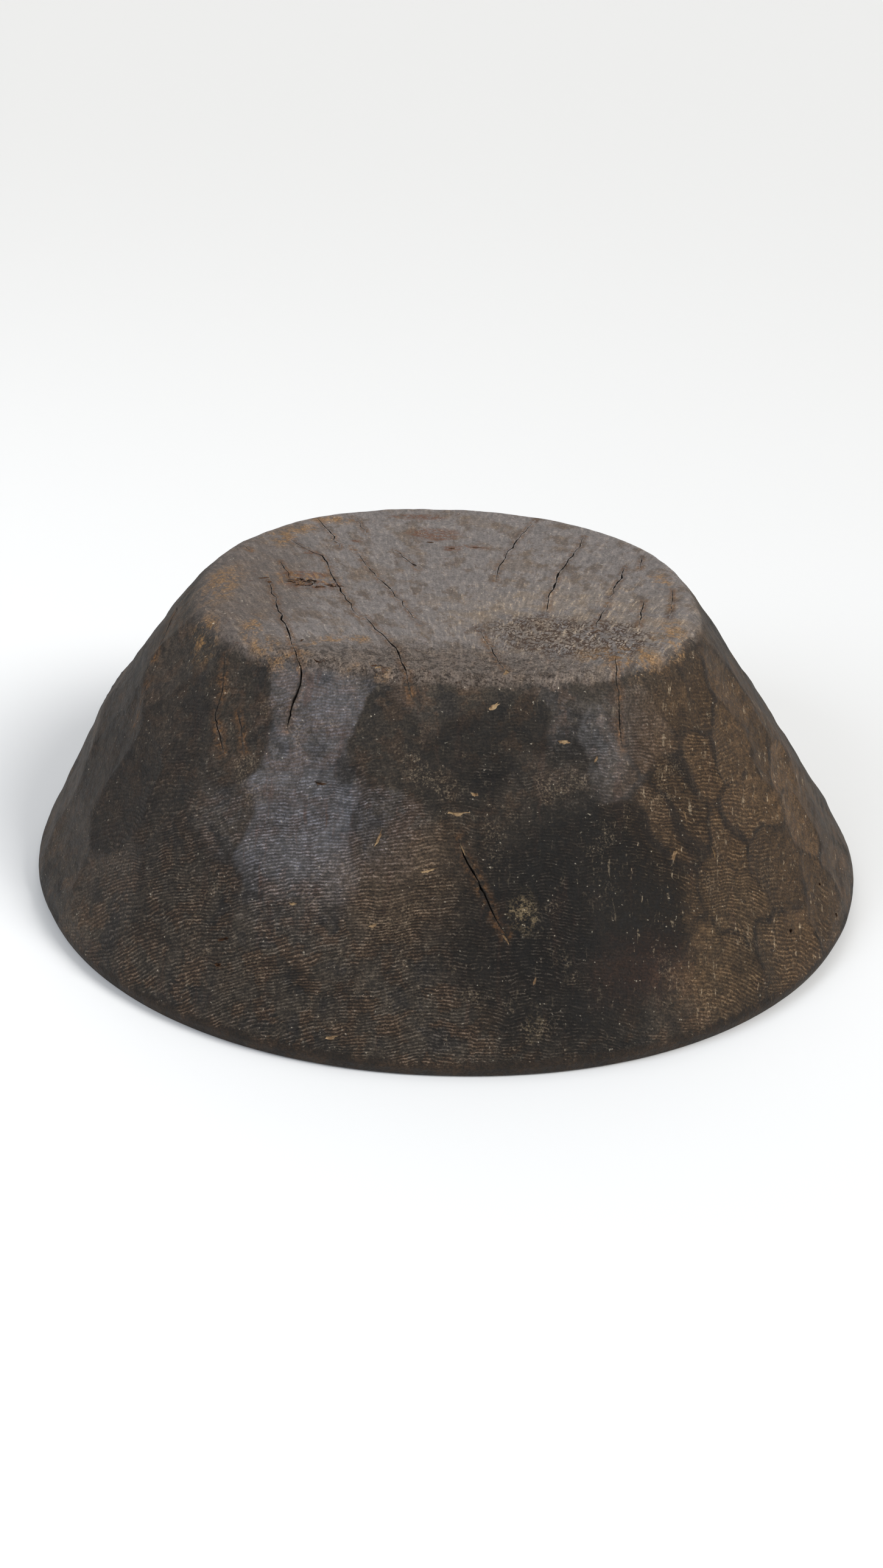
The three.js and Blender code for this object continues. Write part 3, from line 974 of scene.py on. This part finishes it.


# %% [markdown]
# ## Colours and places
#
# Soot, grease and handling have made the wall nearly black-brown, browner on the right. Where it was
# handled most it is smoother and greasy, and there a blue-grey painted sheen, a painted reflection,
# is laid into the colour. The foot stood on the ground and has gone grey. Ochre wood shows at the
# brow where the skin of dirt has been rubbed off, and rusty stains lie on the foot.

# %% Colours of the wall
black_brown = shade(55, 48, 40)
greyed_brown = shade(64, 54, 44)
deep_brown = shade(34, 31, 29)
stain_brown = shade(68, 52, 38)
left_brown = shade(58, 49, 42)
middle_brown = shade(82, 65, 48)
warm_brown = shade(71, 53, 34)
rubbed_brown = shade(94, 78, 58)
reddish_brown = shade(66, 40, 28)
run_brown = shade(58, 40, 30)
soot = shade(23, 19, 14)
seam_dirt = shade(29, 23, 18)
painted_sheen_blue = shade(64, 64, 71)
# Glint is a painted highlight on the ring crests; the pale tan below is dust on rays and scuffs and a
# painted highlight on the crests.
glint = shade(140, 140, 146)
dust_and_highlight_tan = shade(160, 143, 118)
crust_tan = shade(134, 116, 86)
pale_speck = shade(196, 186, 166)
band_dark, band_brown = shade(24, 18, 12), shade(46, 34, 23)

# %% Colours of the foot and of bare wood
foot_grey = shade(115, 108, 104)
foot_brown = shade(84, 72, 62)
foot_tan = shade(104, 88, 72)
edge_brown = shade(95, 83, 73)
dusky_brown = shade(88, 77, 69)
wash_beige = shade(138, 122, 104)
streak_beige = shade(166, 148, 124)
crack_brown = shade(60, 44, 33)
crumb_brown = shade(62, 49, 38)
pore_brown = shade(46, 34, 26)
fleck_brown = shade(84, 56, 40)
rust = shade(90, 56, 34)
ochre, ochre_shadow = shade(148, 112, 68), shade(92, 68, 44)
split_dark, split_tan = shade(58, 40, 28), shade(104, 72, 40)

# %% Places of ochre and rusty wood, with their half-lengths in mm
ochre_spots = [
    ((-108, -12, 131), (9, 24, 10)), ((-88, 58, 134), (8, 12, 9)), ((-80, 72, 134), (11, 9, 9)),
    ((-62, 89, 134), (14, 6, 9)), ((-108, -56, 125), (7, 14, 9)), ((-87, -66, 134), (5, 13, 4)),
    ((-80, -82, 133), (6, 6, 5)), ((-69, -92, 131), (9, 5, 6)), ((-59, -81, 134), (5, 3, 4)),
    ((-52, -75, 134), (5, 4, 4)), ((-41, -74, 134), (5, 4, 4)), ((-35, -104, 132), (8, 4, 4)),
    ((76, -80, 131), (20, 11, 5)), ((97, -55, 131), (8, 22, 5)), ((99, 20, 131), (5, 10, 5)),
]
rusty_spots = [
    ((-68, -8, 134), (13, 7, 6)), ((-72, 4, 134), (12, 6, 6)), ((-12, 74, 134), (14, 9, 6)),
    ((9, 57, 134), (9, 2.2, 6)), ((-49, 57, 134), (3, 3, 6)), ((-71, 37, 134), (4, 3, 6)),
    ((-2, 53, 134), (5, 3, 6)), ((-20, 100, 134), (14, 5, 6)),
]
print(len(ochre_spots), "ochre and", len(rusty_spots), "rusty places")

# %% [markdown]
# ## Patterns and zones of the outside
#
# Dirt and wear follow the same few noises, so these are worked out once, each spread over 0 to 1. So
# are the masks: where end grain shows, where the foot starts, and the dark band at the rim. A ring's
# profile is the remainder of its number, which climbs slowly and drops fast, as worn rings do.

# %% Patterns that the whole outside shares
foot_starts, foot_full = 127.5, 131.5
band_starts, band_full = 8.8, 6.8


class Skin(Grain):
    """The grain, with the patterns and masks of the bowl's outside."""

    def __init__(self, finish):
        super().__init__(finish)
        self.grit = finish.even_noise(self.place, 0.9, 3, 0.7)
        self.fine = finish.even_noise(self.place, 2.6, 4, 0.7)
        self.mottle = finish.even_noise(self.place, 10, 5, 0.65)
        self.blotch = finish.even_noise(self.place, 30, 3, 0.6)
        self.tone = finish.even_noise(self.bent, 20, 4, 0.6)
        self.lightness = finish.attribute("lightness")
        self.seam = finish.attribute("seam")
        self.split = finish.attribute("split")

        flake = finish.even_noise(self.log, 2.2, 4, 0.75)
        climb = (self.rings() + flake * 0.3 + self.grit * 0.18).remainder()
        self.ridge = climb.between(0.05, 0.7) - climb.between(0.76, 1)
        self.crest = self.ridge.between(0.6, 1) * self.fine.between(0.35, 0.9)

        plan_share = self.y.size() / (self.x.size() + self.y.size() + 1)
        self.end_grain = (plan_share + (self.blotch - 0.5) * 0.12).between(0.3, 0.5)
        streak_place = finish.vector("MULTIPLY", self.log, (1, 0.4, 1))
        self.side_streaks = finish.even_noise(streak_place, 3, 5, 0.7)

        level = self.z - foot_slope * self.x
        ragged_level = level + (self.mottle - 0.5) * 2 + (self.fine - 0.5) * 0.6
        soft_side = (self.x * -1).between(30, 100) * 4
        self.foot = ragged_level.between(foot_starts - soft_side, foot_full)
        ragged_height = self.z + (self.mottle - 0.5) * 3 + (self.fine - 0.5) * 1.5
        self.band = ragged_height.between(band_starts, band_full)
        self.coarse = 1 - 0.45 * self.foot


# %% Zones of the wall
class Zones:
    """Masks from 0 to 1 for the warm, dark, bare and shining parts of the wall."""

    def __init__(self, skin):
        self.right_side = skin.patch((128, -100, 60), (62, 100, 85), 0.25)
        self.left_side = skin.patch((-140, -105, 62), (60, 80, 60), 0.4)
        self.lower_left = skin.patch((-60, -175, 30), (140, 75, 46), 0.4)
        self.dark_middle = skin.patch((47, -158, 48), (50, 60, 50), 0.25)
        self.dark_top = skin.patch((22, -125, 104), (50, 30, 20), 0.4)
        self.bare = skin.patch((84, -160, 36), (34, 36, 30), 0.4)
        unevenly = 0.3 * (skin.fine - 0.5) + 0.3 * (skin.mottle - 0.5)
        worn = (skin.lightness + unevenly).between(-0.3, 0.9)
        # The sheen mask makes the wall smoother and coated there, and it also carries a painted blue-grey
        # reflection into the colour.
        left_sheen = skin.patch((-60, -125, 96), (44, 50, 52), 0.6) * worn
        right_sheen = skin.patch((60, -113, 108), (32, 34, 34), 0.7) * worn
        self.sheen = left_sheen.at_least(right_sheen * 0.65)


# %% [markdown]
# ## Colour of the wall
#
# The colour is laid on as a painter would, from the ground colour up: uneven browns, then each zone,
# the blue-grey painted sheen and dark runs, and the adze marks' lightness, which is partly their own
# tone and partly painted light and shade. Over it go the rings, with painted shade in their grooves
# and a painted highlight, partly dust, on their crests, then the pale rays, the dirt in the seams
# between marks, and the long streaks of the sides.

# %% Brown, soot and shine
def wall_colour(skin, zones):
    finish, tint, patch = skin.finish, skin.finish.tint, skin.patch
    tone, mottle, sheen = skin.tone, skin.mottle, zones.sheen
    runs = finish.noise(skin.rays(), 5, 3, 0.6).between(0.58, 0.68)
    wall = tint(black_brown, tone.between(0.5, 0.9), greyed_brown)
    wall = tint(wall, tone.between(0.4, 0.1) * 0.7, deep_brown)
    wall = tint(wall, mottle.between(0.5, 0.8) * 0.7, stain_brown)
    wall = tint(wall, patch((-150, -40, 70), (60, 110, 60), 0.5) * 0.5, left_brown)
    wall = tint(wall, patch((-10, -150, 62), (34, 50, 20), 0.4) * 0.5, middle_brown)
    wall = tint(wall, zones.right_side * 0.9, warm_brown)
    wall = tint(wall, patch((122, -142, 30), (22, 40, 24), 0.5) * 0.2, rubbed_brown)
    wall = tint(wall, patch((116, -152, 32), (40, 36, 40), 0.5) * (1 - mottle) * 0.7, soot)
    wall = tint(wall, (zones.dark_middle * 0.85).at_least(zones.dark_top * 0.4), soot)
    wall = tint(wall, patch((78, -170, 34), (20, 30, 12), 0.6) * 0.3, reddish_brown)
    # Painted sheen: a blue-grey painted reflection is laid into the colour of the shiny zones, most on the
    # ring crests.
    wall = tint(wall, sheen * (0.05 + 0.35 * skin.ridge + 0.3 * skin.fine), painted_sheen_blue)
    wall = tint(wall, runs * (0.3 + 0.5 * sheen), run_brown)
    # Painted light and shade: each mark's lightness lightens or darkens its facet, partly its own tone and
    # partly the light and shade of a facet painted in.
    return finish.dim(wall, 0.95 + 0.75 * skin.lightness)


# %% Rings, rays and seams
def ring_strength(skin, zones):
    """How clearly the rings show: not on the foot, the rim or the sides, and less where rubbed."""
    strength = 0.6 + 0.4 * zones.lower_left + 0.2 * zones.right_side + 0.3 * zones.sheen
    strength = strength - 0.45 * zones.bare - 0.3 * zones.dark_middle
    rubbed = (skin.z + (skin.tone - 0.5) * 26 - 0.1 * skin.x).between(88, 112)
    strength = strength.at_least(0.1) * skin.end_grain * (1 - skin.foot) * (1 - skin.band)
    return strength * (1 - 0.7 * rubbed) * (0.55 + 0.45 * skin.mottle.between(0.2, 0.6))


def grained(wall, skin, zones, strength):
    finish, tint, fine = skin.finish, skin.finish.tint, skin.fine
    right_side, sheen = zones.right_side, zones.sheen
    # Painted shade and light on the rings: the colour is darkened in each groove and lightened along each
    # ridge.
    wall = finish.dim(wall, 1 - strength * (0.62 - 1.1 * skin.ridge * (0.7 + 0.6 * fine)))
    # Painted highlight: a pale tint on the crests, partly dust and partly a painted glint, bluer where the
    # wall shines.
    crest_dust_and_highlight = tint(dust_and_highlight_tan, (0.8 * sheen + 0.4 * (1 - right_side)).at_most(1), glint)
    wall = tint(wall, skin.crest * strength * 0.14, crest_dust_and_highlight)
    ray_lines = finish.noise(skin.rays(), 1.4, 2, 0.5).between(0.62, 0.7) * fine.between(0.3, 0.8)
    wall = tint(wall, ray_lines * (0.08 + 0.42 * right_side), dust_and_highlight_tan)
    clear_edges = (0.4 + 0.5 * right_side + 0.25 * zones.left_side).at_most(0.9)
    broken = (skin.blotch + skin.mottle * 0.6 + fine * 0.4).between(0.3, 1.3)
    wall = tint(wall, skin.seam.between(0.3, 0.9) * clear_edges * broken * 0.9, seam_dirt)
    crust = skin.spot((30, -160, 52), (5.5, 8, 7), 0.7)
    crust = crust.at_least(skin.spot((36, -184, 16), (4, 8, 5), 0.7) * 0.5)
    wall = tint(wall, crust * (fine * 0.6 + skin.grit * 0.5).between(0.35, 0.8) * 0.65, crust_tan)
    scuffs = skin.tone.between(0.75, 1) * skin.grit.between(0.5, 0.95)
    wall = tint(wall, scuffs * 0.16 * skin.end_grain, dust_and_highlight_tan)
    return finish.dim(wall, 1 + (1 - skin.end_grain) * (skin.side_streaks - 0.5) * 0.9)


# %% [markdown]
# ## Colour of the foot
#
# Streaks and smudges of the foot fan out from the front, as the checks do. A fan is a pattern in
# polar coordinates: the angle seen from a point in front of the bowl runs across the streaks, and
# the distance from that point runs along them. The right front is crazed, the front edge crumbles,
# and fibres of bare wood show round the torn place.

# %% Marks of the foot
fan_across, fan_along = 8, -260
fan_reach = 260
crazed_cell = 1.9


class FootMarks:
    """Streaks, smudges, crazing and crumbs of the foot, from 0 to 1."""

    def __init__(self, skin):
        finish, fine = skin.finish, skin.fine
        away_x, away_y = skin.x - fan_across, skin.y - fan_along
        turn = finish.add("ShaderNodeMath", {"operation": "ARCTAN2"}, {0: away_x, 1: away_y})
        across = turn * fan_reach
        self.streak = finish.even_noise(finish.join(across, away_y * 0.16, skin.z * 0.3), 1.6, 4, 0.75)
        self.smudge = finish.even_noise(finish.join(across, away_y * 0.5, skin.z * 0.3), 10, 5, 0.65)
        self.right_wash = skin.patch((58, -40, 132), (56, 46, 30), 0.5)
        self.front_strip = skin.patch((-15, -102, 132), (85, 24, 14), 0.5)
        crumbs = finish.noise(skin.ragged, 3.2, 4, 0.7).between(0.5, 0.64)
        self.crumbled = crumbs * self.front_strip
        cell = {"Vector": finish.join(across, away_y * 0.55, 0), "Scale": 1 / crazed_cell}
        to_edge = finish.add("ShaderNodeTexVoronoi", {"feature": "DISTANCE_TO_EDGE"}, cell)
        cracks = to_edge.between(0.25, 0.06) * fine.between(0.3, 0.6)
        self.crazed = skin.patch((53, -60, 132), (40, 25, 30), 0.3) * cracks


# %% Grey, smudged and stained foot
def foot_colour(skin, marks):
    finish, tint = skin.finish, skin.finish.tint
    fine, streak, smudge = skin.fine, marks.streak, marks.smudge
    dusky_left = skin.patch((-100, -20, 131), (34, 80, 14), 0.6)
    pores = marks.front_strip * skin.grit.between(0.3, 0.05)
    fibres = skin.spot((-70, -1, 134), (17, 8, 6), 0.5) * streak.between(0.4, 0.8)
    flecks = finish.noise(skin.ragged, 3.4, 3, 0.6).between(0.62, 0.72)
    face = tint(foot_grey, smudge.between(0.45, 0.9) * 0.85, foot_brown)
    face = tint(face, skin.tone.between(0.6, 0.95) * 0.4, foot_tan)
    face = tint(face, marks.front_strip * 0.8, edge_brown)
    face = tint(face, dusky_left * 0.75, dusky_brown)
    face = tint(face, marks.right_wash * skin.mottle.between(0.1, 0.7) * 0.4, wash_beige)
    face = tint(face, streak.between(0.7, 1) * (0.12 + 0.5 * marks.right_wash), streak_beige)
    face = finish.dim(face, (0.76 + 0.48 * streak) * (0.82 + 0.36 * smudge))
    face = tint(face, marks.crazed, crack_brown)
    face = tint(face, marks.crumbled * 0.55, crumb_brown)
    face = tint(face, pores * 0.8, pore_brown)
    face = tint(face, skin.spots(rusty_spots) * fine.between(0.1, 0.7) * 0.75, rust)
    face = tint(face, fibres * fine.between(0.1, 0.6) * 0.7, ochre)
    return tint(face, flecks * 0.45, fleck_brown)


# %% [markdown]
# ## The outside put together
#
# The foot goes over the wall, and over both go the ochre places, the brown edges of the checks, pale
# specks and the band at the rim. Relief that is too fine for the mesh is a bump: the rings, grit,
# streaks, crazing and crumbs, all in millimetres. Worn wood is smoother and has a thin coat of grease.

# %% Wood of the outside
def outside_wood():
    finish = Finish("aged wood outside")
    skin = Skin(finish)
    zones = Zones(skin)
    marks = FootMarks(skin)
    tint, coarse = finish.tint, skin.coarse
    grit, fine, mottle = skin.grit, skin.fine, skin.mottle
    strength = ring_strength(skin, zones)
    wall = grained(wall_colour(skin, zones), skin, zones, strength)
    base = tint(wall, skin.foot, foot_colour(skin, marks))

    gold = (mottle * 0.5 + fine * 0.4 + marks.streak * 0.2).between(0.4, 0.72)
    base = tint(base, skin.spots(ochre_spots, 0.6) * gold * 0.72, tint(ochre_shadow, grit, ochre))
    base = tint(base, skin.split * fine.between(0, 0.6), tint(split_dark, mottle, split_tan))
    specks = finish.noise(skin.place, 1.3, 1, 0.5).between(0.73, 0.8)
    base = tint(base, specks * (0.35 + 0.35 * skin.foot), pale_speck)
    base = tint(base, skin.band * 0.9, tint(band_dark, mottle, band_brown))
    base = finish.dim(base, (1 + coarse * (grit - 0.5)) * (1 + coarse * 0.72 * (fine - 0.5)))

    height = skin.ridge * 0.6 * strength + (grit * 0.13 + fine * 0.28 + mottle * 0.35) * coarse
    height = height + (marks.streak * 0.1 - marks.crazed * 0.25 - marks.crumbled * 0.7) * skin.foot
    height = height + skin.side_streaks * 0.2 * (1 - skin.end_grain)
    rough = 0.6 - 0.12 * zones.sheen - 0.1 * skin.crest * strength
    rough = rough + 0.14 * (fine - 0.5) + 0.04 * skin.foot
    return finish.surface({
        "Base Color": base, "Roughness": rough.between(0, 1), "Normal": finish.relief(height),
        "Specular IOR Level": 0.24, "Coat Weight": zones.sheen * 0.3, "Coat Roughness": 0.38,
    })


# %% [markdown]
# ## Finish of the hollow, the splits and the chips
#
# The hollow is plainer: brown, a little shiny from use, with the log's grain in it. The walls of the
# drying checks are painted nearly black, as painted shade deep in the cracks, and have no shine.
# Fresh chips are pale ochre with fibres.

# %% Plainer woods
def plain_wood(name, dark, light, roughness, relief_height, ring_share=0.5):
    finish = Finish(name)
    grain = Grain(finish)
    fine = finish.noise(grain.place, 1.2, 3, 0.65)
    mottle = finish.noise(grain.place, 9, 3, 0.6)
    fibre = finish.noise(grain.log, 1.4, 3, 0.6)
    wave = 0.5 + 0.5 * (grain.rings() * math.pi).sine()
    tone = (fibre * 0.5 + mottle * 0.5).between(0.35, 0.65)
    base = finish.tint(dark, tone, light)
    base = finish.tint(base, wave * 0.3 * ring_share, dark)
    height = (fine + fibre) * relief_height + wave * 0.08 * ring_share
    rough = roughness + 0.2 * (fine - 0.5)
    return finish.surface({"Base Color": base, "Roughness": rough, "Normal": finish.relief(height)})


outside_finish = outside_wood()
hollow_finish = plain_wood("wood of the hollow", shade(66, 52, 41), shade(98, 80, 62), 0.55, 0.12, 1.0)
# Painted shade: the walls of the checks are coloured nearly black for the shade deep in each crack.
shaded_check_finish = plain_wood("inside of a check, painted shade", shade(20, 15, 12), shade(40, 30, 23), 0.9, 0.2)
pit_finish = plain_wood("torn dark wood", shade(34, 24, 17), shade(96, 64, 36), 0.85, 0.3)
chip_finish = plain_wood("freshly chipped wood", shade(104, 78, 50), shade(172, 146, 108), 0.75, 0.3)
for made in (outside_finish, hollow_finish, shaded_check_finish, pit_finish, chip_finish):
    print(made.name, "has", len(made.node_tree.nodes), "nodes")

# %% [markdown]
# ## Cut the checks and chips
#
# The bowl gets its two finishes first: the outside everywhere, then the hollow's on its own faces.
# The cutters of each kind are joined, so that one Boolean cuts them all, and the wood that it opens
# takes the cutter's finish.

# %% Finishes on the bowl, then the cuts
rim_face_height = 1.5
bowl.data.materials.append(outside_finish)
bowl.data.materials.append(hollow_finish)
hollow_vertices = ~outside & (points[:, 2] > rim_face_height)
for face in bowl.data.polygons:
    face.material_index = int(all(hollow_vertices[number] for number in face.vertices))


def join_cutters(cutters, finish):
    deselect_all()
    for cutter in cutters:
        cutter.data.materials.append(finish)
        cutter.select_set(True)
    bpy.context.view_layer.objects.active = cutters[0]
    if len(cutters) > 1:
        bpy.ops.object.join()
    return cutters[0]


cuts = ((check_cutters, shaded_check_finish), (pit_cutters, pit_finish), (chip_cutters, chip_finish))
for cutters, finish in cuts:
    cutter = join_cutters(cutters, finish)
    before = len(bowl.data.polygons)
    apply_modifier(bowl, "BOOLEAN", object=cutter, operation="DIFFERENCE", solver="MANIFOLD",
                   material_mode="TRANSFER")
    print(finish.name, "cut:", before, "faces became", len(bowl.data.polygons))
    bpy.data.objects.remove(cutter)

# %% [markdown]
# ## Sweep up the splinters
#
# Where two cuts cross, a splinter can stay behind with air all round it. The floor of the hollow
# surely belongs to the bowl, so what isn't linked to it is deleted.

# %% Delete loose splinters
sure_radius, sure_height = 30, floor_height + 10


def in_hollow_floor(part, middle):
    return math.hypot(middle.x, middle.y) < sure_radius and middle.z < sure_height


edit(bowl)
pick(bowl, "VERT", in_hollow_floor)
bpy.ops.mesh.select_linked()
bpy.ops.mesh.select_all(action="INVERT")
bpy.ops.mesh.delete(type="VERT")
leave_edit()
print("swept bowl has", len(bowl.data.polygons), "faces")

# %% Smooth shading, with the cut edges left sharp
make_active(bowl)
bpy.ops.object.shade_smooth_by_angle(angle=math.radians(40))
bowl.data.calc_loop_triangles()
print("bowl has", len(bowl.data.loop_triangles), "triangles,", [m.name for m in bowl.data.materials])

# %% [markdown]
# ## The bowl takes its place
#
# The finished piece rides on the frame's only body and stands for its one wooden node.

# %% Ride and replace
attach(bowl, "root")
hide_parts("bowl")

# %% [markdown]
# ## Floor and light
#
# A pale floor and soft light show the form without hard shadows. A sun with a very wide disc is an
# even sky: the whole floor gets the same light. A narrower sun from the right gives each adze mark a
# light and a dark side. A bluish window at the front left makes the worn wood shine, and a weak sun
# from behind lifts the edge of the foot.

# %% Pale floor
bpy.ops.mesh.primitive_plane_add(size=60, location=(0, 0, -0.0003))
floor = bpy.context.object
floor.name = "floor"
pale = {"Base Color": (0.86, 0.86, 0.85, 1), "Roughness": 0.9, "Specular IOR Level": 0.0}
floor.data.materials.append(Finish("pale floor").surface(pale))
floor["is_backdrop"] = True

# %% Soft light
def add_light(kind, name, energy, place, target=(0, 0, 0)):
    """Put a light at a place, with its -Z axis towards the target."""
    bpy.ops.object.light_add(type=kind)
    light = bpy.context.object
    light.name = name
    light.data.energy = energy
    light.location = place
    towards = Vector(target) - Vector(place)
    light.rotation_euler = towards.to_track_quat("-Z", "Y").to_euler()
    return light


sky = add_light("SUN", "wide_sky", 0.6, (0.1, -0.3, 2.0))
sky.data.angle = math.radians(110)
key = add_light("SUN", "soft_key", 2.4, (1.1, -0.65, 1.0))
key.data.angle = math.radians(24)
window = add_light("AREA", "window_left", 16, (-1.25, -1.05, 1.10), (-0.06, -0.12, 0.09))
window.data.color = (0.84, 0.90, 1.0)
window.data.size = 0.8
back_light = add_light("SUN", "soft_back", 0.55, (0.1, 1.7, 1.1))
back_light.data.angle = math.radians(45)

world = bpy.data.worlds.new("studio")
bpy.context.scene.world = world
world.use_nodes = True
background = world.node_tree.nodes["Background"]
background.inputs["Color"].default_value = (1.0, 1.0, 1.0, 1)
background.inputs["Strength"].default_value = 0.24
bpy.context.scene.view_settings.view_transform = "Standard"
print("lights:", sky.name, key.name, window.name, back_light.name)

# %% [markdown]
# ## Camera
#
# The photograph looks down at the bowl by 27 degrees from 0.8 m away, and it is turned a little, by
# under two degrees. The lens follows from the size of the bowl in a picture of 1450 x 2576 pixels.

# %% Camera at the photograph's place
picture_height = 2576
focal_pixels = 2670
sensor_size = 36
camera_place = Vector((-3.54, -722.4, 394.5)) * mm
camera_target = Vector((-3.54, 0, 28.19)) * mm
camera_roll = 0.0315

bpy.ops.object.camera_add()
camera = bpy.context.object
camera.name = "camera"
camera.data.sensor_width = sensor_size
camera.data.lens = focal_pixels / picture_height * sensor_size
ahead = (camera_target - camera_place).normalized()
level_right = ahead.cross(Vector((0, 0, 1))).normalized()
level_up = level_right.cross(ahead)
right = level_right * math.cos(camera_roll) + level_up * math.sin(camera_roll)
up = level_up * math.cos(camera_roll) - level_right * math.sin(camera_roll)
camera.matrix_world = Matrix((
    (right.x, up.x, -ahead.x, camera_place.x),
    (right.y, up.y, -ahead.y, camera_place.y),
    (right.z, up.z, -ahead.z, camera_place.z),
    (0, 0, 0, 1),
))
bpy.context.scene.camera = camera
print("lens", round(camera.data.lens, 2), "mm")

# %% [markdown]
# ## Measure and finish
#
# The frame's box and the dressed bowl's box are printed side by side. The dressed bowl must
# stay the size of the frame's.

# %% Print both sizes and finish
dressed_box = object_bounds()
sizes = {"cad": [list(corner) for corner in cad_box], "dressed": [list(corner) for corner in dressed_box]}
for name, (low, high) in sizes.items():
    print(name, [round(1000 * v, 1) for v in low], [round(1000 * v, 1) for v in high])
